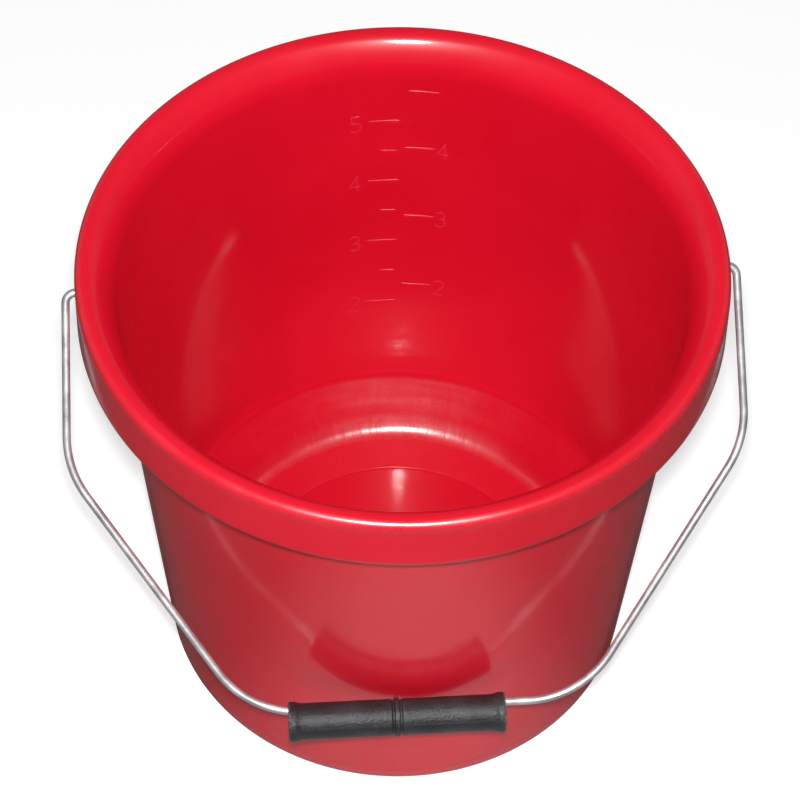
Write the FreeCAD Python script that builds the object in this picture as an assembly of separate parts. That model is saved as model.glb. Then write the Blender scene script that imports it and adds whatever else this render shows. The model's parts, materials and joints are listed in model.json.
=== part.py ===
import FreeCAD, Part
import math
import os

# A five-litre wash bucket: a tapered moulded shell with a rolled lip and a turned-down skirt,
# a bent wire bail that swings in two ears under the skirt, and a loose tube grip on the bail.
# Millimetres. The origin is the centre of the foot's plane, +Z is up, +X runs along the bail's
# pivot axis, and the bail hangs down in front, on the -Y side.

V = FreeCAD.Vector

# ---- shell ------------------------------------------------------------------------------
rim_height = 207.3        # foot to the top of the lip
wall = 1.8                # wall, lip and skirt thickness
taper_deg = 4.1           # the wall's lean from vertical
crown_radius = 115.0      # from the axis to the highest circle of the lip
crown_in = 6.5            # rounding on the inner side of the crown
crown_out = 2.8           # rounding on the outer side of the crown
flare_radius = 21.0       # the wide inner curve that leads from the wall to the crown
flare_deg = 46.0          # slope at which the flare hands over to the crown rounding
skirt_height = 22.5       # top of the lip to the skirt's lower edge
skirt_draft_deg = 1.3     # the skirt opens downwards

# ---- base -------------------------------------------------------------------------------
floor_thickness = 1.9
floor_level = 2.7         # inside, at the edge of the floor's disc
disc_radius = 57.4        # the domed disc in the middle of the floor
disc_rise = 2.5           # height of the dome
step_height = 0.7         # the ring round the disc starts this much higher
step_run = 0.5
ring_slope_deg = 6.0      # the ring rises outwards
slope_radius = 74.8       # where the ring would meet the slope up to the wall
wall_slope_deg = 48.0
bend_ring = 8.0           # rounding between ring and slope
bend_wall = 8.0           # rounding between slope and wall
foot_radius = 88.6        # inner side of the foot ring, which runs on from the wall
foot_draft = 0.3          # the foot ring's inner side closes in by this much towards the top
foot_rounding = 2.3       # outer edge of the foot
gate_radius = 3.2         # moulding gate under the disc
gate_height = 0.7

# ---- ears -------------------------------------------------------------------------------
pivot_drop = 11.4         # top of the lip to the bail's pivot axis
boss_radius = 4.6
web_half_gap = 9.0        # a web stands on each side of the boss
web_thickness = 1.6
web_height = 19.0

# ---- bail -------------------------------------------------------------------------------
wire_radius = 1.5
pivot_clearance = 0.08    # radial, between the wire's end and the boss bore
stub_end = 108.6          # the wire's end, measured from the bucket's axis
arm_top = 121.5           # half width at the pivots
arm_low = 124.6           # half width at the shoulders
shoulder_drop = 65.5      # pivot axis to shoulder, along the bail
grip_span = 62.3          # half width where the legs meet the grip's straight
grip_drop = 162.5         # pivot axis to the grip's straight, along the bail
bend_pivot = 3.8
bend_shoulder = 38.6
bend_grip = 36.9

# ---- grip -------------------------------------------------------------------------------
grip_length = 81.2
grip_shift = -7.2         # the grip has slid this far along the wire
grip_radius = 6.9
grip_bore = 5.75
grip_bore_mouth = 6.35    # the bore opens towards both ends
mouth_length = 9.0
flange_radius = 7.55      # the raised ends
flange_width = 2.6
flange_blend = 3.2        # length of the hollow curve from a raised end to the body
ring_radius = 7.25        # the ring round the middle
ring_width = 2.2
ring_flat = 0.75          # the share of the ring's width that is flat on top
groove_depth = 0.45
groove_width = 1.0
grip_sag = 4.0            # from the wire's centre to the tube's centre, along the bail
grip_gap = 0.65           # between the grip's ring and the wall when the bail hangs

taper = math.radians(taper_deg)
flare = math.radians(flare_deg)
draft = math.radians(skirt_draft_deg)
pivot_z = rim_height - pivot_drop
ring_slope = math.radians(ring_slope_deg)
wall_slope = math.radians(wall_slope_deg)


# ---- geometry helpers -------------------------------------------------------------------
def rz(radius, height):
    """A point of a section in the XZ plane."""
    return V(radius, 0, height)


def on_circle(centre, radius, angle):
    """A point of the XZ plane on a circle; angle 0 points away from the bucket's axis."""
    return V(centre.x + radius * math.cos(angle), 0, centre.z + radius * math.sin(angle))


def line(start, end):
    return Part.LineSegment(start, end).toShape()


def arc(centre, radius, angle_start, angle_end):
    middle = on_circle(centre, radius, (angle_start + angle_end) / 2)
    start = on_circle(centre, radius, angle_start)
    end = on_circle(centre, radius, angle_end)
    return Part.Arc(start, middle, end).toShape()


def revolve(edges, base=V(0, 0, 0), axis=V(0, 0, 1)):
    """Turns a closed section a full turn into a solid."""
    face = Part.Face(Part.Wire(edges))
    solid = face.revolve(base, axis, 360)
    return solid if solid.ShapeType == "Solid" else solid.Solids[0]


def save(shape, node):
    solid = shape.Solids[0] if len(shape.Solids) == 1 else shape
    if not solid.isValid() or len(shape.Solids) != 1:
        raise ValueError(node + " is not one valid solid")
    solid.exportStep(os.path.join("parts", node + ".step"))


# ---- the lip's curves, at a depth below the visible skin ---------------------------------
crown_in_centre = rz(crown_radius, rim_height - crown_in)
crown_out_centre = rz(crown_radius, rim_height - crown_out)
flare_centre = rz(crown_radius + (flare_radius - crown_in) * math.cos(flare),
                  rim_height - crown_in - (flare_radius - crown_in) * math.sin(flare))


def wall_top(depth):
    """Where the straight wall turns into the flare."""
    return on_circle(flare_centre, flare_radius - depth, math.pi - taper)


def wall_radius(height, depth):
    """The straight wall's radius at a height, on the skin (0) or on the outside (wall)."""
    top = wall_top(depth)
    return top.x - (top.z - height) * math.tan(taper)


def skirt_top(depth):
    return on_circle(crown_out_centre, crown_out - depth, draft)


def skirt_end(depth):
    """The last point of the skirt's straight, above its rounded lower edge."""
    top = skirt_top(0)
    run = (top.z - (rim_height - skirt_height) - wall / 2) / math.cos(draft)
    return V(top.x + run * math.sin(draft) - depth * math.cos(draft), 0,
             top.z - run * math.cos(draft) - depth * math.sin(draft))


def lip_edges(depth):
    """From the top of the straight wall over the crown to the skirt's end."""
    return [
        arc(flare_centre, flare_radius - depth, math.pi - taper, math.pi - flare),
        arc(crown_in_centre, crown_in - depth, math.pi - flare, math.pi / 2),
        arc(crown_out_centre, crown_out - depth, math.pi / 2, draft),
        line(skirt_top(depth), skirt_end(depth)),
    ]


def skirt_edge():
    """The half-round lower edge of the skirt."""
    outer, inner = skirt_end(0), skirt_end(wall)
    centre = (outer + inner) * 0.5
    tip = centre + V(math.sin(draft), 0, -math.cos(draft)) * (wall / 2)
    return Part.Arc(outer, tip, inner).toShape()


# ---- bucket shell -----------------------------------------------------------------------
def rounded(corners, radii):
    """A run of straight edges with tangent arcs at its inner corners."""
    edges, start = [], corners[0]
    for before, corner, after, radius in zip(corners, corners[1:], corners[2:], radii):
        back, ahead = (before - corner).normalize(), (after - corner).normalize()
        half = back.getAngle(ahead) / 2
        centre = corner + (back + ahead).normalize() * (radius / math.sin(half))
        bend_start = corner + back * (radius / math.tan(half))
        bend_end = corner + ahead * (radius / math.tan(half))
        middle = centre + (corner - centre).normalize() * radius
        edges.append(line(start, bend_start))
        edges.append(Part.Arc(bend_start, middle, bend_end).toShape())
        start = bend_end
    edges.append(line(start, corners[-1]))
    return edges


def ring_point(radius, depth):
    """A point of the ring round the floor's disc, at a depth below the inside."""
    inside = floor_level + step_height + (radius - disc_radius - step_run) * math.tan(ring_slope)
    return rz(radius, inside - depth / math.cos(ring_slope))


def slope_start(depth):
    """Where the ring's line and the slope's line cross, at a depth below the inside."""
    shift = depth * math.tan((wall_slope - ring_slope) / 2)
    along = V(math.cos(ring_slope), 0, math.sin(ring_slope))
    down = V(math.sin(ring_slope), 0, -math.cos(ring_slope))
    return ring_point(slope_radius, 0) + down * depth + along * shift


def slope_end():
    """Where the slope's inside line meets the wall's."""
    start = slope_start(0)
    reach = wall_radius(start.z, 0) - start.x
    rise = reach * math.tan(wall_slope) / (1 - math.tan(taper) * math.tan(wall_slope))
    return rz(wall_radius(start.z + rise, 0), start.z + rise)


def dome(depth):
    """Half the domed disc's arc, from the axis to its edge."""
    sphere = (disc_radius ** 2 + disc_rise ** 2) / (2 * disc_rise)
    centre_z = floor_level + disc_rise - sphere
    radius = sphere - depth
    reach = math.asin(disc_radius / sphere)
    return [rz(radius * math.sin(reach * share), centre_z + radius * math.cos(reach * share))
            for share in (0, 0.5, 1)]


def inside_edges():
    """The inside, from the top of the straight wall down to the middle of the floor."""
    top, middle, edge = dome(0)
    corners = [wall_top(0), slope_end(), slope_start(0), ring_point(disc_radius + step_run, 0), edge]
    return rounded(corners, [bend_wall, bend_ring, step_height / 3]) + [Part.Arc(edge, middle, top).toShape()]


def base_edges():
    """The underside, from the axis out over the foot ring to the top of the wall's outside."""
    top, middle, edge = dome(floor_thickness)
    start = slope_start(floor_thickness)
    foot_top = rz(foot_radius - foot_draft, 0)
    foot_top.z = start.z + (foot_top.x - start.x) * math.tan(wall_slope)
    corners = [edge, ring_point(edge.x + 2 * step_run, floor_thickness), start, foot_top,
               rz(foot_radius, 0), rz(wall_radius(0, wall), 0), wall_top(wall)]
    radii = [step_height / 3, bend_ring + floor_thickness, 0.6, 0.3, foot_rounding]
    return [Part.Arc(top, middle, edge).toShape()] + rounded(corners, radii)


def shell_solid():
    section = base_edges() + lip_edges(wall) + [skirt_edge()] + lip_edges(0) + inside_edges()
    section.append(line(dome(0)[0], dome(floor_thickness)[0]))
    return revolve(Part.__sortEdges__(section))


def under_lip():
    """The space between wall and skirt, up to the lip, reaching half a wall into each."""
    depth = wall / 2
    end = skirt_end(depth)
    foot = rz(wall_radius(end.z, depth), end.z)
    section = [line(foot, wall_top(depth))] + lip_edges(depth) + [line(end, foot)]
    return revolve(Part.__sortEdges__(section))


def ear_solid(side):
    """A boss between two webs, joining the wall to the skirt."""
    start = wall_radius(pivot_z, wall) - wall
    reach = skirt_top(0).x - start
    boss = Part.makeCylinder(boss_radius, reach, V(start, 0, pivot_z), V(1, 0, 0))
    webs = []
    for y in (-web_half_gap, web_half_gap):
        corner = V(start - wall, y - web_thickness / 2, rim_height - web_height)
        webs.append(Part.makeBox(reach + wall, web_thickness, web_height, corner))
    ear = boss.multiFuse(webs).common(under_lip())
    return ear if side > 0 else ear.mirror(V(0, 0, 0), V(1, 0, 0))


def pivot_bore(side):
    bore_radius = wire_radius + pivot_clearance
    start = stub_end - 0.5
    length = arm_top - start
    return Part.makeCylinder(bore_radius, length, V(side * start, 0, pivot_z), V(side, 0, 0))


def bucket_shell():
    shell = shell_solid()
    gate_z = dome(floor_thickness)[0].z - gate_height
    gate = Part.makeCylinder(gate_radius, gate_height + wall / 2, V(0, 0, gate_z))
    shell = shell.fuse([gate, ear_solid(1), ear_solid(-1)])
    shell = shell.cut([pivot_bore(1), pivot_bore(-1)])
    return shell.removeSplitter()


# ---- bail -------------------------------------------------------------------------------
def hang_angle():
    """The bail's lean from vertical when the grip's ring rests against the wall."""
    top = wall_top(wall)
    reach = ring_radius + grip_gap + top.x * math.cos(taper) + (pivot_z - top.z) * math.sin(taper)
    return math.asin(reach / (grip_drop + grip_sag)) - taper


hang = hang_angle()
down_bail = V(0, -math.sin(hang), -math.cos(hang))


def bail_point(across, down):
    """A point of the bail's plane: across along the pivot axis, down along the bail."""
    return V(across, 0, pivot_z) + down_bail * down


def bent_path(corners, radii):
    """Straight runs joined by tangent bends."""
    edges, start = [], corners[0]
    for before, corner, after, radius in zip(corners, corners[1:], corners[2:], radii):
        back = (before - corner).normalize()
        ahead = (after - corner).normalize()
        half = back.getAngle(ahead) / 2
        middle = (back + ahead).normalize()
        centre = corner + middle * (radius / math.sin(half))
        bend_start = corner + back * (radius / math.tan(half))
        bend_end = corner + ahead * (radius / math.tan(half))
        edges.append(line(start, bend_start))
        edges.append(Part.Arc(bend_start, centre - middle * radius, bend_end).toShape())
        start = bend_end
    edges.append(line(start, corners[-1]))
    return Part.Wire(edges)


def bail_wire():
    half = [(stub_end, 0), (arm_top, 0), (arm_low, shoulder_drop), (grip_span, grip_drop)]
    corners = [bail_point(-across, down) for across, down in half]
    corners += [bail_point(across, down) for across, down in reversed(half)]
    bends = [bend_pivot, bend_shoulder, bend_grip]
    path = bent_path(corners, bends + bends[::-1])
    outline = Part.Wire(Part.makeCircle(wire_radius, corners[0], V(1, 0, 0)))
    return path.makePipeShell([outline], True, False)


# ---- grip -------------------------------------------------------------------------------
def grip_half_section():
    """One half of the tube's outline as (along, radius) points and curves, middle to mouth."""
    half = grip_length / 2
    ring_edge = ring_width / 2
    groove_edge = ring_edge + groove_width
    groove_radius = grip_radius - groove_depth
    lip_start = half - flange_width
    blend_start = lip_start - flange_blend
    rounding = flange_width / 3

    def at(along, radius):
        return V(along, 0, radius)

    blend_mid = at(blend_start + flange_blend * 0.62, grip_radius + (flange_radius - grip_radius) * 0.24)
    return [
        line(at(0, ring_radius), at(ring_edge * ring_flat, ring_radius)),
        line(at(ring_edge * ring_flat, ring_radius), at(ring_edge, groove_radius)),
        line(at(ring_edge, groove_radius), at(groove_edge - groove_depth, groove_radius)),
        line(at(groove_edge - groove_depth, groove_radius), at(groove_edge, grip_radius)),
        line(at(groove_edge, grip_radius), at(blend_start, grip_radius)),
        Part.Arc(at(blend_start, grip_radius), blend_mid, at(lip_start, flange_radius)).toShape(),
        line(at(lip_start, flange_radius), at(half - rounding, flange_radius)),
        Part.Arc(at(half - rounding, flange_radius),
                 at(half - rounding * 0.29, flange_radius - rounding * 0.29),
                 at(half, flange_radius - rounding)).toShape(),
        line(at(half, flange_radius - rounding), at(half, grip_bore_mouth)),
        line(at(half, grip_bore_mouth), at(half - mouth_length, grip_bore)),
        line(at(half - mouth_length, grip_bore), at(0, grip_bore)),
    ]


def grip_tube():
    edges = grip_half_section()
    mirrored = [edge.mirror(V(0, 0, 0), V(1, 0, 0)) for edge in edges]
    tube = revolve(Part.__sortEdges__(edges + mirrored), axis=V(1, 0, 0))
    tube.translate(bail_point(grip_shift, grip_drop + grip_sag))
    return tube


# ---- write the parts --------------------------------------------------------------------
os.makedirs("parts", exist_ok=True)
save(bucket_shell(), "bucket_shell")
save(bail_wire(), "bail_wire")
save(grip_tube(), "grip_tube")

grip_axis = bail_point(grip_shift, grip_drop + grip_sag)
print("pivot axis height %.3f mm" % pivot_z)
print("hang angle %.3f deg, swing to the far side %.3f deg" % (math.degrees(hang), 360 - 2 * math.degrees(hang)))
print("grip axis passes y %.3f z %.3f mm" % (grip_axis.y, grip_axis.z))
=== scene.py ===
import json
import math

import bmesh
import bpy
import numpy as np
from mathutils import Matrix, Vector, kdtree, noise


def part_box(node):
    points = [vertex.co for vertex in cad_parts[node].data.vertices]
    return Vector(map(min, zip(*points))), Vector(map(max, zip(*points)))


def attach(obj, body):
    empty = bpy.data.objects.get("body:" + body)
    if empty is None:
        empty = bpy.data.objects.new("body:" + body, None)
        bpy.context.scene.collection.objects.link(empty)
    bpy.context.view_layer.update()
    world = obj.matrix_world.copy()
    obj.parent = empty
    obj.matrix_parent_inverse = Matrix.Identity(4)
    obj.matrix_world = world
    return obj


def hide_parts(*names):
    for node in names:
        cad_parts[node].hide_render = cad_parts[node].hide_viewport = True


# The looks of a five-litre wash bucket: the moulded shell with its raised scale, the zinc-plated
# wire bail and the loose black grip. Everything is in metres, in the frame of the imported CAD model.
# The shapes repeat the CAD sections at a finer step, with the small roundings a real one has.

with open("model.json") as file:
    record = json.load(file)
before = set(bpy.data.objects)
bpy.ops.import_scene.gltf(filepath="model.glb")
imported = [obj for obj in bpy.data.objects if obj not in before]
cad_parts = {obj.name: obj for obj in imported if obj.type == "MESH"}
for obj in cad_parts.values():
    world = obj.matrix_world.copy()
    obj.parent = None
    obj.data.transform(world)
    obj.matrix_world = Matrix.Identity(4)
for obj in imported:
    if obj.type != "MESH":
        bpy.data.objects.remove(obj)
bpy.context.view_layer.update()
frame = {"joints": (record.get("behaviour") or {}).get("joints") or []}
MM = 0.001

shell_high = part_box("bucket_shell")[1]
grip_low, grip_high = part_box("grip_tube")
joints = {joint["name"]: joint for joint in frame["joints"]}
pivot_z = joints["bail_swing"]["pos_m"][2]
grip_centre = Vector(joints["grip_spin"]["pos_m"])

# ---- shell section, as in the CAD ----------------------------------------------------------
rim_height = shell_high.z
wall = 1.8 * MM
taper = math.radians(4.1)
crown_radius = 115.0 * MM
crown_in = 6.5 * MM
crown_out = 2.8 * MM
flare_radius = 21.0 * MM
flare = math.radians(46)
skirt_height = 22.5 * MM
draft = math.radians(1.3)

# ---- base ----------------------------------------------------------------------------------
floor_thickness = 1.9 * MM
floor_level = 2.7 * MM
disc_radius = 57.4 * MM
disc_rise = 2.5 * MM
step_height = 0.7 * MM
step_run = 0.5 * MM
ring_slope = math.radians(6)
slope_radius = 74.8 * MM
wall_slope = math.radians(48)
bend_ring = 8.0 * MM
bend_wall = 8.0 * MM
foot_radius = 88.6 * MM
foot_draft = 0.3 * MM
foot_rounding = 2.3 * MM
gate_radius = 3.2 * MM
gate_height = 0.7 * MM

# ---- ears ----------------------------------------------------------------------------------
boss_radius = 4.6 * MM
web_half_gap = 9.0 * MM
web_thickness = 1.6 * MM
web_height = 19.0 * MM

# ---- bail ----------------------------------------------------------------------------------
wire_radius = 1.5 * MM
pivot_clearance = 0.08 * MM
stub_end = 108.6 * MM
arm_top = 121.5 * MM
arm_low = 124.6 * MM
shoulder_drop = 65.5 * MM
grip_span = 62.3 * MM
grip_drop = 162.5 * MM
bend_radii = [3.8 * MM, 38.6 * MM, 36.9 * MM]

# ---- grip ----------------------------------------------------------------------------------
grip_length = grip_high.x - grip_low.x
grip_radius = 6.9 * MM
grip_bore = 5.75 * MM
grip_bore_mouth = 6.35 * MM
mouth_length = 9.0 * MM
flange_radius = 7.55 * MM
flange_width = 2.6 * MM
flange_blend = 3.2 * MM
ring_radius = 7.25 * MM
ring_width = 2.2 * MM
ring_flat = 0.75
groove_depth = 0.45 * MM
groove_width = 1.0 * MM
parting_height = 0.10 * MM
parting_spread = 0.045
parting_turn = math.radians(118)
sway_height = 0.05 * MM
fine_height = 0.02 * MM

# ---- raised scale --------------------------------------------------------------------------
scale_azimuth = math.radians(85.6)
mark_lift = 0.07 * MM
mark_width = 0.8 * MM
litre_mark = (-14.0 * MM, -2.4 * MM)         # both ends, measured from the scale's centre line
half_litre_mark = (-8.8 * MM, -3.2 * MM)
quart_mark = (0.6 * MM, 12.2 * MM)
top_mark = (1.6 * MM, 13.2 * MM)
litre_digit = -19.3 * MM
quart_digit = 15.2 * MM
digit_drop = 0.9 * MM
digit_height = 8.0 * MM
digit_weight = 0.75 * MM
LITRE = 0.001
QUART = 1.1365 * LITRE
scale_gain = 1.031        # how the moulded scale runs against the wall's own volume
scale_start = 0.26 * LITRE

# ---- finish of the moulding: haze is the roughness of its gloss ----------------------------
haze_outside = 0.10
haze_inside = 0.09
haze_marks = 0.15
haze_base = 0.15            # added beyond the floor's disc
haze_crest_outside = 0.20   # added towards the top of the lip
haze_crest_inside = 0.04
base_grain = 0.9

# ---- fineness of the meshes ----------------------------------------------------------------
shell_segments = 288
grip_segments = 160
wire_sides = 32
section_step = 0.8 * MM
wire_bend_step = 1.2 * MM
wire_straight_step = 2.5 * MM
mark_step = 1.0 * MM


# ---- sections ------------------------------------------------------------------------------
def on_circle(centre, radius, angle):
    return (centre[0] + radius * math.cos(angle), centre[1] + radius * math.sin(angle))


def arc(centre, radius, start, end, steps):
    return [on_circle(centre, radius, angle) for angle in np.linspace(start, end, steps + 1)]


def run(start, end, steps):
    """Evenly spaced points of a straight run, both ends included."""
    return [tuple(point) for point in np.linspace(start, end, steps + 1)]


def chain(*runs):
    """Joins runs of points and drops a point that repeats the one before."""
    points = []
    for piece in runs:
        for point in piece:
            if not points or math.dist(points[-1], point) > 1e-7:
                points.append(point)
    return points


def tangent_arc(before, corner, after, radius, step, fewest):
    """The arc that rounds a corner, in the plane or in space, as vectors about a step apart."""
    back, ahead = (before - corner).normalized(), (after - corner).normalized()
    half = back.angle(ahead) / 2
    centre = corner + (back + ahead).normalized() * (radius / math.sin(half))
    first = corner + back * (radius / math.tan(half)) - centre
    last = corner + ahead * (radius / math.tan(half)) - centre
    turn = first.angle(last)
    points = []
    for share in np.linspace(0, 1, max(fewest, round(turn * radius / step)) + 1):
        from_first = math.sin((1 - share) * turn) / math.sin(turn)
        from_last = math.sin(share * turn) / math.sin(turn)
        points.append(centre + first * from_first + last * from_last)
    return points


def rounded(before, corner, after, radius):
    """A corner of a section replaced by a small tangent arc."""
    points = tangent_arc(Vector(before), Vector(corner), Vector(after), radius, section_step, 4)
    return [tuple(point) for point in points]


def rounded_run(corners, radii):
    """Points along straight runs, with a tangent arc at each inner corner."""
    points = [corners[0]]
    for before, corner, after, radius in zip(corners, corners[1:], corners[2:], radii):
        points += rounded(before, corner, after, radius)
    return split_long(points + [corners[-1]])


def split_long(points, step=6.0 * MM):
    """Splits the long straights of a section evenly."""
    dense = [points[0]]
    for start, end in zip(points, points[1:]):
        dense += run(start, end, max(1, math.ceil(math.dist(start, end) / step)))[1:]
    return dense


flare_centre = (crown_radius + (flare_radius - crown_in) * math.cos(flare),
                rim_height - crown_in - (flare_radius - crown_in) * math.sin(flare))
crown_in_centre = (crown_radius, rim_height - crown_in)
crown_out_centre = (crown_radius, rim_height - crown_out)


def wall_top(depth):
    """Where the straight wall turns into the flare, at a depth below the inner skin."""
    return on_circle(flare_centre, flare_radius - depth, math.pi - taper)


def wall_radius(height, depth=0.0):
    """The radius of the wall or of the flare above it, at a height and a depth."""
    top = wall_top(depth)
    if height <= top[1]:
        return top[0] - (top[1] - height) * math.tan(taper)
    hand_over = on_circle(flare_centre, flare_radius - depth, math.pi - flare)
    if height <= hand_over[1]:
        rise = height - flare_centre[1]
        return flare_centre[0] - math.sqrt((flare_radius - depth) ** 2 - rise ** 2)
    rise = height - crown_in_centre[1]
    return crown_radius - math.sqrt(max((crown_in - depth) ** 2 - rise ** 2, 0))


def skirt_line(depth):
    """The top and the end of the skirt's straight, at a depth below the outer skin."""
    top = on_circle(crown_out_centre, crown_out, draft)
    length = (top[1] - (rim_height - skirt_height) - wall / 2) / math.cos(draft)
    start = on_circle(crown_out_centre, crown_out - depth, draft)
    end = (start[0] + length * math.sin(draft), start[1] - length * math.cos(draft))
    return start, end


def lip_over(depth):
    """From the wall's top over the crown to the skirt's end."""
    start, end = skirt_line(depth)
    return chain(
        arc(flare_centre, flare_radius - depth, math.pi - taper, math.pi - flare, 18),
        arc(crown_in_centre, crown_in - depth, math.pi - flare, math.pi / 2, 14),
        arc(crown_out_centre, crown_out - depth, math.pi / 2, draft, 14),
        run(start, end, 10))


def skirt_edge():
    """The half-round lower edge of the skirt, from outside to inside."""
    outer, inner = skirt_line(0)[1], skirt_line(wall)[1]
    centre = ((outer[0] + inner[0]) / 2, (outer[1] + inner[1]) / 2)
    return arc(centre, wall / 2, draft, draft - math.pi, 8)


def ring_point(radius, depth):
    """A point of the ring round the floor's disc, at a depth below the inside."""
    inside = floor_level + step_height + (radius - disc_radius - step_run) * math.tan(ring_slope)
    return (radius, inside - depth / math.cos(ring_slope))


def slope_start(depth):
    """Where the ring's line and the slope's line cross, at a depth below the inside."""
    shift = depth * math.tan((wall_slope - ring_slope) / 2)
    radius, height = ring_point(slope_radius, 0)
    return (radius + math.sin(ring_slope) * depth + math.cos(ring_slope) * shift,
            height - math.cos(ring_slope) * depth + math.sin(ring_slope) * shift)


def slope_end():
    """Where the slope's inside line meets the wall's."""
    radius, height = slope_start(0)
    reach = wall_radius(height) - radius
    rise = reach * math.tan(wall_slope) / (1 - math.tan(taper) * math.tan(wall_slope))
    return (wall_radius(height + rise), height + rise)


def dome(depth):
    """Half the domed disc, from the axis to its edge."""
    sphere = (disc_radius ** 2 + disc_rise ** 2) / (2 * disc_rise)
    centre_z = floor_level + disc_rise - sphere
    reach = math.asin(disc_radius / sphere)
    return arc((0, centre_z), sphere - depth, math.pi / 2, math.pi / 2 - reach, 14)


def floor_inside():
    """From the middle of the floor to the top of the straight wall, inside."""
    middle = dome(0)
    step_top = ring_point(disc_radius + step_run, 0)
    corners = [middle[-1], step_top, slope_start(0), slope_end(), wall_top(0)]
    return chain(middle, rounded_run(corners, [step_height / 3, bend_ring, bend_wall]))


def underside():
    """From the top of the wall's outside over the foot ring to the gate mark under the disc."""
    middle = dome(floor_thickness)
    edge, start = middle[-1], slope_start(floor_thickness)
    foot_top = (foot_radius - foot_draft,
                start[1] + (foot_radius - foot_draft - start[0]) * math.tan(wall_slope))
    corners = [wall_top(wall), (wall_radius(0, wall), 0), (foot_radius, 0), foot_top, start,
               ring_point(edge[0] + 2 * step_run, floor_thickness), edge]
    radii = [foot_rounding, 0.3 * MM, 0.6 * MM, bend_ring + floor_thickness, step_height / 3]
    panel_z = middle[0][1]
    gate = rounded_run([(gate_radius * 2, panel_z), (gate_radius, panel_z),
                        (gate_radius, panel_z - gate_height), (0, panel_z - gate_height)],
                       [gate_height * 0.3, gate_height * 0.3])
    panel = [point for point in middle[::-1] if point[0] > gate_radius * 2]
    return chain(rounded_run(corners, radii), panel, gate)


def shell_section():
    """The moulding's section, from the middle of the floor over the lip to the gate mark."""
    return chain(floor_inside(), lip_over(0), skirt_edge(), lip_over(wall)[::-1], underside())


def shell_finish(radius, height, outside):
    """(grained, haze, base) of a point of the section: how grained it is, from 0 to 1, how rough its
    gloss is, and how far it belongs to the base of the inside, from 0 to 1. The material paints that
    base a darker red as painted shade."""
    on_lip = smoothstep(crown_radius - 4 * MM, crown_radius - 1 * MM, radius)
    on_crest = smoothstep(rim_height - 8 * MM, rim_height - 2 * MM, height)
    if outside:
        return 1.0, haze_outside + haze_crest_outside * on_crest, 0.0
    on_slope = smoothstep(slope_end()[1] + 1.5 * MM, slope_end()[1] - 1.5 * MM, height)
    off_disc = smoothstep(disc_radius, disc_radius + step_run, radius)
    beyond_disc = on_slope * off_disc
    haze = haze_inside + haze_base * beyond_disc + haze_crest_inside * on_crest
    return max(base_grain * beyond_disc, on_lip), haze, on_slope


# ---- mesh helpers --------------------------------------------------------------------------
def mesh_object(name, vertices, faces, sharp_deg=38):
    """A closed mesh object with outward faces, smooth apart from its real edges."""
    mesh = bpy.data.meshes.new(name)
    mesh.from_pydata([tuple(v) for v in vertices], [], faces)
    tidy_mesh(mesh, sharp_deg)
    obj = bpy.data.objects.new(name, mesh)
    bpy.context.scene.collection.objects.link(obj)
    return obj


def tidy_mesh(mesh, sharp_deg=38):
    """Turns the faces outward and shades them smooth, except across edges that bend more."""
    bm = bmesh.new()
    bm.from_mesh(mesh)
    bmesh.ops.recalc_face_normals(bm, faces=bm.faces)
    bm.to_mesh(mesh)
    bm.free()
    mesh.shade_smooth()
    mesh.set_sharp_from_angle(angle=math.radians(sharp_deg))


def lathe(section, segments):
    """Turns a section about +Z. A section that starts and ends on the axis closes itself there."""
    solid = section[0][0] < 1e-9
    rings = section[1:-1] if solid else section
    turn = np.arange(segments) * (2 * math.pi / segments)
    vertices = [(r * math.cos(a), r * math.sin(a), z) for r, z in rings for a in turn]
    faces = []
    pairs = len(rings) - 1 if solid else len(rings)
    for ring in range(pairs):
        here, there = ring * segments, (ring + 1) % len(rings) * segments
        for j in range(segments):
            k = (j + 1) % segments
            faces.append((here + j, here + k, there + k, there + j))
    if solid:
        last = (len(rings) - 1) * segments
        start_pole, end_pole = len(vertices), len(vertices) + 1
        vertices += [(0, 0, section[0][1]), (0, 0, section[-1][1])]
        for j in range(segments):
            k = (j + 1) % segments
            faces.append((start_pole, k, j))
            faces.append((end_pole, last + j, last + k))
    return vertices, faces


def skin(rings):
    """Joins rings of the same number of points into a solid, closed at both ends."""
    count = len(rings[0])
    last = (len(rings) - 1) * count
    faces = [tuple(range(count))[::-1], tuple(range(last, last + count))]
    for here in range(0, last, count):
        there = here + count
        for j in range(count):
            k = (j + 1) % count
            faces.append((here + j, here + k, there + k, there + j))
    return [point for ring in rings for point in ring], faces


def boolean(target, tools, operation):
    """Applies an exact boolean with each tool, and removes the tools."""
    for tool in tools:
        modifier = target.modifiers.new(operation, "BOOLEAN")
        modifier.object = tool
        modifier.operation = operation
        modifier.solver = "EXACT"
    depsgraph = bpy.context.evaluated_depsgraph_get()
    mesh = bpy.data.meshes.new_from_object(target.evaluated_get(depsgraph))
    target.modifiers.clear()
    target.data = mesh
    for tool in tools:
        bpy.data.objects.remove(tool)


def set_attribute(mesh, name, values):
    """Stores one number per vertex, which a material can read by name."""
    attribute = mesh.attributes.new(name, "FLOAT", "POINT")
    attribute.data.foreach_set("value", np.asarray(values, np.float32))


def smoothstep(low, high, value):
    """0 before low, 1 past high, and a soft step between; low may be the bigger of the two."""
    share = np.clip((value - low) / (high - low), 0, 1)
    return share * share * (3 - 2 * share)


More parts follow.
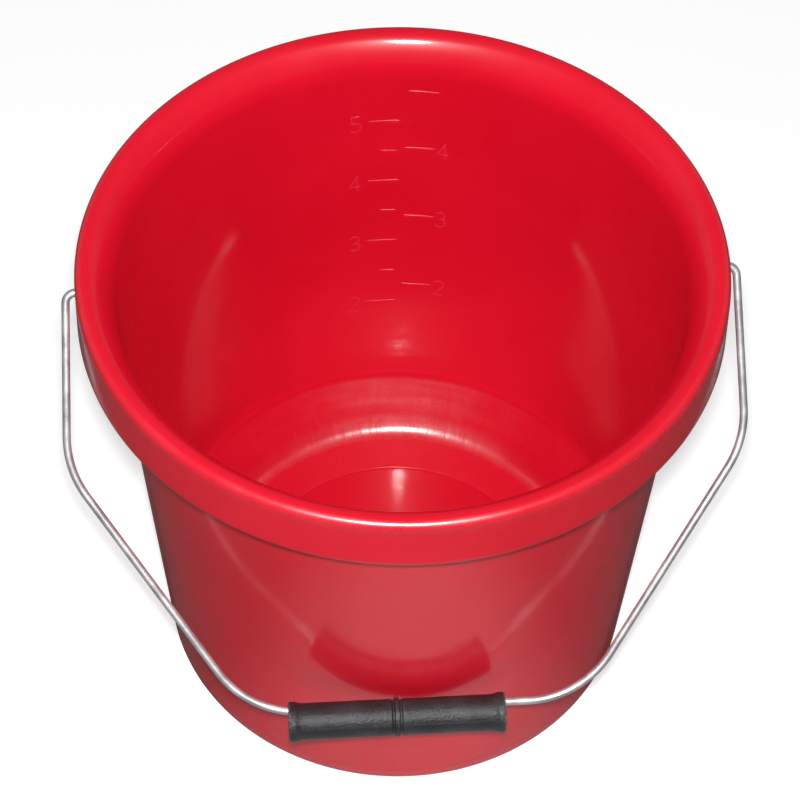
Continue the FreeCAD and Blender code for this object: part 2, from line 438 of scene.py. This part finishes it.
# ---- bucket shell --------------------------------------------------------------------------
def web_outline(y, bottom):
    """A web's outline at one of its faces, reaching half a wall into the wall and the skirt."""
    mid = wall / 2
    top, end = skirt_line(mid)
    lip = [point for point in lip_over(mid) if point[1] > bottom]
    foot_in = (wall_radius(bottom, mid), bottom)
    foot_out = (top[0] + (end[0] - top[0]) * (top[1] - bottom) / (top[1] - end[1]), bottom)
    wall_run = run(foot_in, wall_top(mid), 2) if wall_top(mid)[1] > bottom else [foot_in]
    return [(math.sqrt(r * r - y * y), y, z) for r, z in chain(wall_run, lip, [foot_out])]


def ear_solids(side):
    """A boss between two webs."""
    mid = wall / 2
    inner_ring, outer_ring = [], []
    reach = skirt_line(mid)[0][0]
    for angle in np.arange(48) * (2 * math.pi / 48):
        y, z = boss_radius * math.cos(angle), pivot_z + boss_radius * math.sin(angle)
        inner_ring.append((math.sqrt(wall_radius(z, mid) ** 2 - y * y), y, z))
        outer_ring.append((math.sqrt(reach ** 2 - y * y), y, z))
    solids = [skin([inner_ring, outer_ring])]
    bottom = rim_height - web_height
    for y in (-web_half_gap, web_half_gap):
        sides = (y - web_thickness / 2, y + web_thickness / 2)
        solids.append(skin([web_outline(side_y, bottom) for side_y in sides]))
    turned = []
    for number, (vertices, faces) in enumerate(solids):
        vertices = [(side * x, y, z) for x, y, z in vertices]
        turned.append(mesh_object(f"ear_{number}", vertices, faces))
    return turned


def bore_cutter(side):
    """The pivot hole, with its mouth in the skirt slightly rounded over."""
    radius = wire_radius + pivot_clearance
    skirt = skirt_line(0)[0][0]
    mouth = 0.35 * MM
    section = [(0, stub_end - 0.5 * MM), (radius, stub_end - 0.5 * MM), (radius, skirt - mouth)]
    section += arc((radius + mouth, skirt - mouth), mouth, math.pi, math.pi / 2 + 0.35, 5)
    section += [(radius + 2 * mouth, skirt + 3 * mouth), (0, skirt + 3 * mouth)]
    vertices, faces = lathe(section, 48)
    return mesh_object("bore", [(side * z, x, pivot_z + y) for x, y, z in vertices], faces)


def set_finish(mesh, section):
    """Gives each vertex the finish of the nearest point of the section."""
    crest = max(range(len(section)), key=lambda i: section[i][1])
    tree = kdtree.KDTree(len(section))
    for index, (radius, height) in enumerate(section):
        tree.insert((radius, height, 0), index)
    tree.balance()
    finish = [shell_finish(r, z, index > crest) for index, (r, z) in enumerate(section)]
    chosen = []
    for vertex in mesh.vertices:
        x, y, z = vertex.co
        chosen.append(finish[tree.find((math.hypot(x, y), z, 0))[1]])
    for column, name in enumerate(("grained", "haze", "base")):
        set_attribute(mesh, name, [values[column] for values in chosen])


def make_shell():
    """The moulding: the lathed section with its ears, and the bail's two blind holes."""
    section = shell_section()
    shell = mesh_object("bucket_moulding", *lathe(section, shell_segments))
    boolean(shell, ear_solids(1) + ear_solids(-1), "UNION")
    boolean(shell, [bore_cutter(1), bore_cutter(-1)], "DIFFERENCE")
    tidy_mesh(shell.data)
    set_finish(shell.data, section)
    shell.data.materials.clear()
    shell.data.materials.append(red_plastic())
    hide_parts("bucket_shell")
    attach(shell, "bucket")
    return shell


# ---- raised scale --------------------------------------------------------------------------
def litre_height(volume):
    """The height above the foot that a volume reaches in the tapered wall, in cubic metres."""
    base = wall_radius(floor_level)
    slope = math.tan(taper)
    poured = scale_gain * volume - scale_start
    return floor_level + ((base ** 3 + 3 * slope * poured / math.pi) ** (1 / 3) - base) / slope


def on_wall(along, up, lift, height):
    """A point of the inner wall: along it and up it from the scale's centre line at a height."""
    level = height + up * math.cos(taper)
    radius = wall_radius(level) - lift * math.cos(taper)
    azimuth = scale_azimuth - along / wall_radius(height)
    return (radius * math.cos(azimuth), radius * math.sin(azimuth), level + lift * math.sin(taper))


def raised_bar(left, right, height):
    """A raised mark with rounded shoulders, its foot sunk into the wall."""
    half = mark_width / 2
    profile = [(-half, -mark_lift), (-half * 0.92, mark_lift * 0.45), (-half * 0.55, mark_lift),
               (half * 0.55, mark_lift), (half * 0.92, mark_lift * 0.45), (half, -mark_lift)]
    steps = max(3, round((right - left) / mark_step))
    rings = []
    for along in np.linspace(left, right, steps + 1):
        rings.append([on_wall(along, up, lift, height) for up, lift in profile])
    return skin(rings)


def stroke_digit(digit):
    """A plain digit from 2 to 5 as strokes, one high and a little over half as wide."""
    bowl = 0.27
    if digit == 2:
        top = arc((0, 0.5 - bowl), bowl, math.radians(165), math.radians(-40), 12)
        return [chain(top, [(-bowl, -0.5), (bowl, -0.5)])]
    if digit == 3:
        upper = arc((0, 0.26), 0.24, math.radians(150), math.radians(-90), 12)
        return [chain(upper, arc((0, -0.24), 0.26, math.radians(90), math.radians(-150), 12))]
    if digit == 4:
        return [[(0.12, -0.5), (0.12, 0.5), (-bowl, -0.18), (bowl, -0.18)]]
    belly = arc((0, -0.21), 0.29, math.radians(125), math.radians(-150), 14)
    return [chain([(bowl * 0.85, 0.5), (-bowl * 0.7, 0.5)], belly)]


def raised_stroke(points, centre_along, centre_up, height):
    """One stroke of a digit as a raised bead of constant width."""
    flat = [Vector((x * digit_height + centre_along, y * digit_height + centre_up)) for x, y in points]
    half = digit_weight / 2
    profile = [(-half, -mark_lift), (-half * 0.85, mark_lift * 0.5), (-half * 0.4, mark_lift),
               (half * 0.4, mark_lift), (half * 0.85, mark_lift * 0.5), (half, -mark_lift)]
    rings = []
    for number, point in enumerate(flat):
        before = (point - flat[number - 1]).normalized() if number else None
        after = (flat[number + 1] - point).normalized() if number + 1 < len(flat) else None
        heading = ((before or after) + (after or before)).normalized()
        mitre = 1 / max(heading.dot(after or before), 0.35)
        side = Vector((-heading.y, heading.x)) * mitre
        ring = []
        for across, lift in profile:
            place = point + side * across
            ring.append(on_wall(place.x, place.y, lift, height))
        rings.append(ring)
    return skin(rings)


def join_solids(solids):
    """One list of vertices and one of faces for several solids."""
    vertices, faces = [], []
    for some_vertices, some_faces in solids:
        offset = len(vertices)
        vertices += some_vertices
        faces += [tuple(i + offset for i in face) for face in some_faces]
    return vertices, faces


def make_scale():
    """Litres on the left with half-litre marks, quarts on the right, both with plain digits."""
    bars, digits = [], []
    for half_litres in range(4, 11):
        height = litre_height(half_litres / 2 * LITRE)
        whole = half_litres % 2 == 0
        bars.append(raised_bar(*(litre_mark if whole else half_litre_mark), height))
        if whole:
            digits += [(stroke, litre_digit, height) for stroke in stroke_digit(half_litres // 2)]
    for quarts in (2, 3, 4):
        height = litre_height(quarts * QUART)
        bars.append(raised_bar(*quart_mark, height))
        digits += [(stroke, quart_digit, height) for stroke in stroke_digit(quarts)]
    bars.append(raised_bar(*top_mark, litre_height(5.5 * LITRE)))
    beads = [raised_stroke(stroke, along, -digit_drop, height) for stroke, along, height in digits]
    for name, solids in (("scale_marks", bars), ("scale_digits", beads)):
        piece = mesh_object(name, *join_solids(solids), sharp_deg=70)
        set_attribute(piece.data, "grained", [0.0] * len(piece.data.vertices))
        set_attribute(piece.data, "haze", [haze_marks] * len(piece.data.vertices))
        piece.data.materials.append(bpy.data.materials["red_plastic"])
        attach(piece, "bucket")


# ---- bail ----------------------------------------------------------------------------------
def hang_direction():
    """Down the bail's plane, from the pivot axis to the wire where it enters the grip."""
    wire_point = Vector((0, grip_centre.y, grip_centre.z - pivot_z))
    return wire_point.normalized()


down_bail = hang_direction()


def bail_point(across, down):
    return Vector((across, 0, pivot_z)) + down_bail * down


def bent_path(corners, radii):
    """Points along straight runs joined by tangent bends."""
    points = [corners[0]]
    for before, corner, after, radius in zip(corners, corners[1:], corners[2:], radii):
        points += tangent_arc(before, corner, after, radius, wire_bend_step, 8)
    return points + [corners[-1]]


def resample(points, step):
    """Splits long straight runs, so that the finish has vertices to follow."""
    dense = [points[0]]
    for start, end in zip(points, points[1:]):
        count = max(1, math.ceil((end - start).length / step))
        dense += [start.lerp(end, k / count) for k in range(1, count + 1)]
    return dense


def sweep(points, radii, normal, sides):
    """A round wire along a plane path; normal is the plane's. Both ends are closed."""
    rings = []
    for number, (point, radius) in enumerate(zip(points, radii)):
        ahead = points[min(number + 1, len(points) - 1)] - points[max(number - 1, 0)]
        side = normal.cross(ahead.normalized())
        turns = np.arange(sides) * (2 * math.pi / sides)
        rings.append([point + (side * math.cos(turn) + normal * math.sin(turn)) * radius
                      for turn in turns])
    return skin(rings)


def make_bail():
    """The bent wire, its two cut ends slightly chamfered, lying as it hangs."""
    half = [(stub_end, 0), (arm_top, 0), (arm_low, shoulder_drop), (grip_span, grip_drop)]
    corners = [bail_point(-across, down) for across, down in half]
    corners += [bail_point(across, down) for across, down in reversed(half)]
    path = resample(bent_path(corners, bend_radii + bend_radii[::-1]), wire_straight_step)
    cut = 0.3 * MM
    first, last = (path[1] - path[0]).normalized(), (path[-1] - path[-2]).normalized()
    path = [path[0], path[0] + first * cut] + path[1:-1] + [path[-1] - last * cut, path[-1]]
    radii = [wire_radius] * len(path)
    radii[0] = radii[-1] = wire_radius - cut
    normal = Vector((1, 0, 0)).cross(down_bail).normalized()
    bail = mesh_object("bail", *sweep(path, radii, normal, wire_sides), sharp_deg=50)
    lengths = np.concatenate([[0], np.cumsum([(b - a).length for a, b in zip(path, path[1:])])])
    set_attribute(bail.data, "along", np.repeat(lengths, wire_sides))
    set_attribute(bail.data, "around", np.tile(np.arange(wire_sides) / wire_sides, len(path)))
    bail.data.materials.append(zinc_wire())
    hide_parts("bail_wire")
    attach(bail, "bail")


# ---- grip ----------------------------------------------------------------------------------
def grip_half():
    """One half of the tube's section as (radius, along), from the middle of the ring to the bore."""
    half = grip_length / 2
    ring_edge = ring_width / 2
    groove_edge = ring_edge + groove_width
    groove_radius = grip_radius - groove_depth
    lip_start = half - flange_width
    blend_start = lip_start - flange_blend
    small = 0.15 * MM
    ring_top = (ring_radius, ring_edge * ring_flat)
    ring_foot = (groove_radius, ring_edge)
    groove_end = (groove_radius, groove_edge - groove_depth)
    body_start = (grip_radius, groove_edge)
    hollow = []
    for share in np.linspace(0, 1, 13):
        rise = (flange_radius - grip_radius) * share ** 2
        hollow.append((grip_radius + rise, blend_start + flange_blend * share))
    end_out = (flange_radius, half)
    end_in = (grip_bore_mouth, half)
    mouth = (grip_bore, half - mouth_length)
    return chain(
        [(ring_radius, 0.0)],
        rounded((ring_radius, 0.0), ring_top, ring_foot, small),
        rounded(ring_top, ring_foot, groove_end, small),
        rounded(ring_foot, groove_end, body_start, small),
        rounded(groove_end, body_start, (grip_radius, half), small),
        run(body_start, (grip_radius, blend_start), 26)[1:],
        hollow,
        rounded((flange_radius, lip_start), end_out, end_in, 0.8 * MM),
        rounded(end_out, end_in, mouth, 0.25 * MM),
        run(end_in, mouth, 6)[1:],
        run(mouth, (grip_bore, 0.0), 8))


def roughened(x, y, z):
    """A point of the lathed tube moved out by the mould's parting line and an uneven surface."""
    radius = math.hypot(x, y)
    if radius < grip_bore_mouth + 0.12 * MM:
        return x, y, z
    ridge = parting_height * math.exp(-(y / radius / parting_spread) ** 2)
    place = Vector((z, y, x)) / (6 * MM)
    sway = noise.noise(place) * sway_height
    fine = noise.noise(place * 7) * fine_height
    grow = 1 + (ridge + sway + fine) / radius
    return x * grow, y * grow, z


def make_grip():
    """The tube, lathed about +Z, then laid along +X with its parting line to front and back."""
    half = grip_half()
    mirrored = [(r, -along) for r, along in half[1:-1]]
    vertices, faces = lathe(half + mirrored[::-1], grip_segments)
    turned = []
    sine, cosine = math.sin(parting_turn), math.cos(parting_turn)
    for x, y, z in (roughened(*vertex) for vertex in vertices):
        turned.append((grip_centre.x + z,
                       grip_centre.y - x * sine - y * cosine,
                       grip_centre.z - x * cosine + y * sine))
    grip = mesh_object("grip", turned, faces, sharp_deg=45)
    along = np.abs([z for x, y, z in vertices])
    radius = np.array([math.hypot(x, y) for x, y, z in vertices])
    # pale patchy colour round the tube's end rims, on the ends and the last millimetre of the flanges
    pale_rim = smoothstep(grip_length / 2 - 0.9 * MM, grip_length / 2 - 0.1 * MM, along)
    set_attribute(grip.data, "pale_rim", pale_rim * (radius > grip_bore_mouth - 0.3 * MM))
    grip.data.materials.append(black_plastic())
    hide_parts("grip_tube")
    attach(grip, "grip")


# ---- materials -----------------------------------------------------------------------------
def new_material(name):
    material = bpy.data.materials.new(name)
    material.use_nodes = True
    return material, material.node_tree, material.node_tree.nodes["Principled BSDF"]


def add(tree, kind, inputs, **settings):
    """A node with its settings, and its inputs given as values or as sockets to link."""
    made = tree.nodes.new(kind)
    for key, value in settings.items():
        setattr(made, key, value)
    for key, value in inputs.items():
        if isinstance(value, bpy.types.NodeSocket):
            tree.links.new(value, made.inputs[key])
        else:
            made.inputs[key].default_value = value
    return made


def texture_noise(tree, place, scale, detail=2.0, rough=0.5):
    return add(tree, "ShaderNodeTexNoise", {"Vector": place, "Scale": scale, "Detail": detail,
                                            "Roughness": rough}).outputs["Fac"]


def remap(tree, value, low, high, to_low, to_high, kind="SMOOTHSTEP"):
    return add(tree, "ShaderNodeMapRange",
               {"Value": value, "From Min": low, "From Max": high, "To Min": to_low, "To Max": to_high},
               interpolation_type=kind).outputs["Result"]


def maths(tree, operation, first, second=0.0):
    return add(tree, "ShaderNodeMath", {0: first, 1: second}, operation=operation).outputs["Value"]


def times(tree, first, second):
    return maths(tree, "MULTIPLY", first, second)


def plus(tree, first, second):
    return maths(tree, "ADD", first, second)


def vertex_value(tree, name):
    return add(tree, "ShaderNodeAttribute", {}, attribute_name=name).outputs["Fac"]


def combined(tree, **axes):
    return add(tree, "ShaderNodeCombineXYZ", axes).outputs["Vector"]


def mix_colour(tree, share, first, second):
    made = add(tree, "ShaderNodeMix", {}, data_type="RGBA")
    for key, value in (("Factor", share), ("A", first), ("B", second)):
        socket = next(s for s in made.inputs if s.name == key and s.enabled)
        if isinstance(value, bpy.types.NodeSocket):
            tree.links.new(value, socket)
        else:
            socket.default_value = value
    return next(s for s in made.outputs if s.enabled)


def bump(tree, height, distance, strength=1.0, below=None):
    inputs = {"Height": height, "Distance": distance, "Strength": strength}
    if below is not None:
        inputs["Normal"] = below
    return add(tree, "ShaderNodeBump", inputs).outputs["Normal"]


def dust_specks(tree, place):
    """A few faint round specks, as a share of dust at each point."""
    cells = add(tree, "ShaderNodeTexVoronoi", {"Vector": place, "Scale": 52.0})
    speck = remap(tree, cells.outputs["Distance"], 0.018, 0.030, 1.0, 0.0)
    rarity = add(tree, "ShaderNodeSeparateColor", {"Color": cells.outputs["Color"]}).outputs["Red"]
    return times(tree, speck, remap(tree, rarity, 0.90, 0.92, 0.0, 0.55))


def foot_of_slope(tree, axes, base):
    """The rounded corner between the floor's ring and the slope, on the inside of the base."""
    squares = [times(tree, axes[axis], axes[axis]) for axis in "XY"]
    reach = maths(tree, "SQRT", plus(tree, *squares))
    rise = remap(tree, reach, slope_radius - 4 * MM, slope_radius - 2 * MM, 0.0, 1.0)
    fall = remap(tree, reach, slope_radius + 2.5 * MM, slope_radius + 5.5 * MM, 1.0, 0.0)
    return times(tree, times(tree, rise, fall), base)


def red_gloss(tree, surface, haze, base, corner, cloudy):
    """A coat over the plastic: the more blurred it is, the stronger it mirrors."""
    surface.inputs["Specular IOR Level"].default_value = 0.25
    surface.inputs["Coat Weight"].default_value = 0.8
    mirror = remap(tree, haze, 0.11, 0.34, 1.48, 2.3, "LINEAR")
    duller = times(tree, base, remap(tree, haze, 0.11, 0.20, 0.0, 0.40))
    mirror = plus(tree, maths(tree, "SUBTRACT", mirror, duller), times(tree, corner, 0.65))
    tree.links.new(mirror, surface.inputs["Coat IOR"])
    blur = plus(tree, haze, times(tree, corner, 0.06))
    tree.links.new(times(tree, blur, remap(tree, cloudy, 0.3, 0.75, 0.8, 1.2)),
                   surface.inputs["Coat Roughness"])


def red_relief(tree, surface, place, axes, grained):
    """Slow waves, streaks up the slope, faint level rings, orange peel and the mould's grain."""
    azimuth = maths(tree, "ARCTAN2", axes["Y"], axes["X"])
    fan = combined(tree, X=azimuth, Y=times(tree, axes["Z"], 3.0))
    below_wall = remap(tree, axes["Z"], 8 * MM, 34 * MM, 1.0, 0.0)
    above_floor = remap(tree, axes["Z"], floor_level + 1.2 * MM, floor_level + 3 * MM, 0.0, 1.0)
    streaks = times(tree, texture_noise(tree, fan, 26.0, 3.0, 0.6), below_wall)
    streaks = times(tree, streaks, above_floor)
    level = combined(tree, X=azimuth, Z=times(tree, axes["Z"], 120.0))
    low_down = remap(tree, axes["Z"], 60 * MM, 25 * MM, 0.0, 1.0)
    rings = times(tree, texture_noise(tree, level, 1.6, 1.0), low_down)
    relief = bump(tree, texture_noise(tree, place, 14.0, 1.0), 0.25 * MM)
    relief = bump(tree, streaks, 0.14 * MM, 1.0, relief)
    relief = bump(tree, rings, 0.25 * MM, 1.0, relief)
    relief = bump(tree, texture_noise(tree, place, 420.0, 2.0), 0.010 * MM, 1.0, relief)
    grain = times(tree, texture_noise(tree, place, 1500.0, 2.0, 0.6), grained)
    tree.links.new(bump(tree, grain, 0.045 * MM, 1.0, relief), surface.inputs["Normal"])
    tree.links.new(bump(tree, grain, 0.022 * MM, 1.0, relief), surface.inputs["Coat Normal"])


def red_plastic():
    """Glossy moulded polypropylene, grained outside, on the lip and on the base, a little dusty, with
    painted shade darkening the base inside.
    """
    material, tree, surface = new_material("red_plastic")
    place = add(tree, "ShaderNodeTexCoord", {}).outputs["Object"]
    axes = add(tree, "ShaderNodeSeparateXYZ", {"Vector": place}).outputs
    grained, haze, base = (vertex_value(tree, name) for name in ("grained", "haze", "base"))
    cloud = texture_noise(tree, place, 9.0, 3.0)
    cloudy = texture_noise(tree, place, 45.0, 4.0, 0.6)
    dust = dust_specks(tree, place)
    tone = mix_colour(tree, remap(tree, cloud, 0.3, 0.7, 0.0, 1.0),
                      (0.66, 0.004, 0.018, 1), (0.74, 0.006, 0.025, 1))
    # painted shade: the base of the inside is painted a darker red to tone down how brightly it is lit
    tone = mix_colour(tree, base, tone, (0.58, 0.003, 0.017, 1))
    tree.links.new(mix_colour(tree, dust, tone, (0.85, 0.45, 0.42, 1)), surface.inputs["Base Color"])
    rough = plus(tree, remap(tree, cloudy, 0.3, 0.75, 0.34, 0.42), times(tree, dust, 0.3))
    tree.links.new(rough, surface.inputs["Roughness"])
    red_gloss(tree, surface, haze, base, foot_of_slope(tree, axes, base), cloudy)
    red_relief(tree, surface, place, axes, grained)
    return material


def zinc_wire():
    """Dull zinc plate over drawn steel: grey, with faint draw lines and cloudy patches."""
    material, tree, surface = new_material("zinc_wire")
    place = add(tree, "ShaderNodeTexCoord", {}).outputs["Object"]
    angle = times(tree, vertex_value(tree, "around"), 2 * math.pi)
    ring = combined(tree, X=maths(tree, "COSINE", angle), Y=maths(tree, "SINE", angle),
                    Z=times(tree, vertex_value(tree, "along"), 9.0))
    drawn = texture_noise(tree, ring, 9.0, 3.0, 0.6)
    cloud = texture_noise(tree, place, 120.0, 4.0, 0.6)
    blotch = texture_noise(tree, place, 900.0, 3.0, 0.7)
    tone = mix_colour(tree, remap(tree, cloud, 0.35, 0.7, 0.0, 1.0),
                      (0.55, 0.55, 0.57, 1), (0.74, 0.74, 0.75, 1))
    tone = mix_colour(tree, remap(tree, blotch, 0.60, 0.75, 0.0, 0.4), tone, (0.36, 0.36, 0.38, 1))
    tree.links.new(tone, surface.inputs["Base Color"])
    surface.inputs["Metallic"].default_value = 0.75
    uneven = plus(tree, cloud, times(tree, drawn, 0.5))
    tree.links.new(remap(tree, uneven, 0.5, 1.0, 0.38, 0.55), surface.inputs["Roughness"])
    lines = bump(tree, drawn, 0.05 * MM)
    tree.links.new(bump(tree, blotch, 0.02 * MM, 1.0, lines), surface.inputs["Normal"])
    return material


def black_plastic():
    """Semi-matt black moulding with a coarse grain and pale patches round its two end rims."""
    material, tree, surface = new_material("black_plastic")
    place = add(tree, "ShaderNodeTexCoord", {}).outputs["Object"]
    pale_rim = vertex_value(tree, "pale_rim")
    cloud = texture_noise(tree, place, 70.0, 4.0, 0.6)
    grit = texture_noise(tree, place, 1300.0, 3.0, 0.65)
    tone = mix_colour(tree, remap(tree, cloud, 0.35, 0.7, 0.0, 1.0),
                      (0.018, 0.018, 0.021, 1), (0.034, 0.035, 0.040, 1))
    patchy = remap(tree, texture_noise(tree, place, 700.0, 3.0), 0.45, 0.62, 0.15, 0.8)
    # the end rims are painted a patchy pale grey
    tone = mix_colour(tree, times(tree, pale_rim, patchy), tone, (0.30, 0.30, 0.31, 1))
    tree.links.new(tone, surface.inputs["Base Color"])
    tree.links.new(remap(tree, grit, 0.3, 0.7, 0.26, 0.50), surface.inputs["Roughness"])
    broad = bump(tree, texture_noise(tree, place, 330.0, 2.0), 0.12 * MM)
    tree.links.new(bump(tree, grit, 0.30 * MM, 1.0, broad), surface.inputs["Normal"])
    return material


def floor_material():
    """A pale sheet: the camera sees it evenly lit; in the bucket's reflections it is dark, with a
    painted pool of light in front of the bucket.
    """
    material, tree, surface = new_material("pale_floor")
    place = add(tree, "ShaderNodeTexCoord", {}).outputs["Object"]
    cloud = texture_noise(tree, place, 3.0, 3.0)
    seen = mix_colour(tree, cloud, (0.48, 0.48, 0.48, 1), (0.52, 0.52, 0.52, 1))
    # painted light: a pool of light painted on the floor in front of the bucket, fading to painted
    # shade, seen only by reflected rays
    reach = add(tree, "ShaderNodeVectorMath", {0: place, 1: painted_light_spot}, operation="DISTANCE")
    painted_light_pool = remap(tree, reach.outputs["Value"], 0.03, 0.13, 0.44, 0.08)
    path = add(tree, "ShaderNodeLightPath", {}).outputs
    tree.links.new(mix_colour(tree, path["Is Glossy Ray"], seen, painted_light_pool), surface.inputs["Base Color"])
    surface.inputs["Roughness"].default_value = 0.9
    surface.inputs["Specular IOR Level"].default_value = 0.1
    surface.inputs["Emission Color"].default_value = (1, 1, 1, 1)
    tree.links.new(times(tree, path["Is Camera Ray"], 0.60), surface.inputs["Emission Strength"])
    return material


# ---- stage ---------------------------------------------------------------------------------
camera_turn = math.radians(4.77)     # how far the camera stands to the left of the front
camera_rise = 0.8634                 # radians above the horizon, seen from the target
camera_distance = 1.07486
camera_pitch = 0.9118                # radians that the lens looks down, steeper than at the target
camera_roll = 0.0224
camera_target = Vector((0, 0, rim_height + 2.17 * MM))
key_lift = 0.035                     # from the lens up to the key light
key_size, key_power = 0.05, 15.5     # metres and watts
back_size, back_power = 1.2, 0.3
fill_size, fill_power = 1.5, 5.5
floor_half = 4.0
floor_drop = 0.15 * MM
# centre of the pool of light painted on the floor, which only the bucket's reflections see
painted_light_spot = (0.0, -0.14, 0.0)      # where the floor in front of the bucket is brightest
backdrop_mirrored = 0.10             # the world's strength for all but the camera
backdrop_seen = 0.95


def make_floor():
    """A flat square floor, a hair below the foot."""
    corners = [(-1, -1), (1, -1), (1, 1), (-1, 1)]
    vertices = [(x * floor_half, y * floor_half, -floor_drop) for x, y in corners]
    mesh = bpy.data.meshes.new("floor")
    mesh.from_pydata(vertices, [], [(0, 1, 2, 3)])
    floor = bpy.data.objects.new("floor", mesh)
    bpy.context.scene.collection.objects.link(floor)
    mesh.materials.append(floor_material())


def compass(turn, rise):
    """The unit vector that points up at an angle, from a turn of the front towards -X."""
    return Vector((-math.sin(turn) * math.cos(rise), -math.cos(turn) * math.cos(rise), math.sin(rise)))


def make_camera():
    """A long lens above the front, turned and rolled a little."""
    camera = bpy.data.objects.new("camera", bpy.data.cameras.new("camera"))
    bpy.context.scene.collection.objects.link(camera)
    camera.data.lens = 135
    camera.data.sensor_width = 36
    camera.data.clip_start = 0.01
    back = compass(camera_turn, camera_pitch)
    right = Vector((math.cos(camera_turn), -math.sin(camera_turn), 0))
    up = back.cross(right)
    side = right * math.cos(camera_roll) + up * math.sin(camera_roll)
    top = up * math.cos(camera_roll) - right * math.sin(camera_roll)
    place = camera_target + compass(camera_turn, camera_rise) * camera_distance
    camera.matrix_world = Matrix.Translation(place) @ Matrix((side, top, back)).transposed().to_4x4()
    bpy.context.scene.camera = camera
    return camera


def make_light(name, place, aim, size, power, mirrored=True):
    """A round area light; one that isn't mirrored lights surfaces without a reflection."""
    light = bpy.data.objects.new(name, bpy.data.lights.new(name, "AREA"))
    bpy.context.scene.collection.objects.link(light)
    light.data.shape = "DISK"
    light.data.size = size
    light.data.energy = power
    light.location = place
    light.rotation_mode = "QUATERNION"
    light.rotation_quaternion = (aim - place).to_track_quat("-Z", "Y")
    light.visible_glossy = mirrored


def make_lights(camera):
    """A small key just above the lens, soft lights behind, and a white backdrop."""
    top = camera.matrix_world.to_3x3() @ Vector((0, 1, 0))
    above_lens = camera.matrix_world.translation + top * key_lift
    make_light("key", above_lens, camera_target, key_size, key_power)
    middle = Vector((0, 0, 0.1))
    for side in (-1, 1):
        back_place = Vector((side * 1.4, 1.6, 0.5))
        fill_place = Vector((side * 1.6, 1.2, 1.0))
        make_light("back", back_place, middle, back_size, back_power)
        make_light("fill", fill_place, middle, fill_size, fill_power, mirrored=False)
    world = bpy.data.worlds.new("world")
    world.use_nodes = True
    backdrop = world.node_tree.nodes["Background"]
    backdrop.inputs["Color"].default_value = (1.0, 1.0, 1.0, 1)
    by_camera = add(world.node_tree, "ShaderNodeLightPath", {}).outputs["Is Camera Ray"]
    strength = remap(world.node_tree, by_camera, 0.0, 1.0, backdrop_mirrored, backdrop_seen)
    world.node_tree.links.new(strength, backdrop.inputs["Strength"])
    bpy.context.scene.world = world
    bpy.context.scene.view_settings.view_transform = "Standard"


# ---- build ---------------------------------------------------------------------------------
make_shell()
make_scale()
make_bail()
make_grip()
make_floor()
make_lights(make_camera())

bpy.context.view_layer.update()
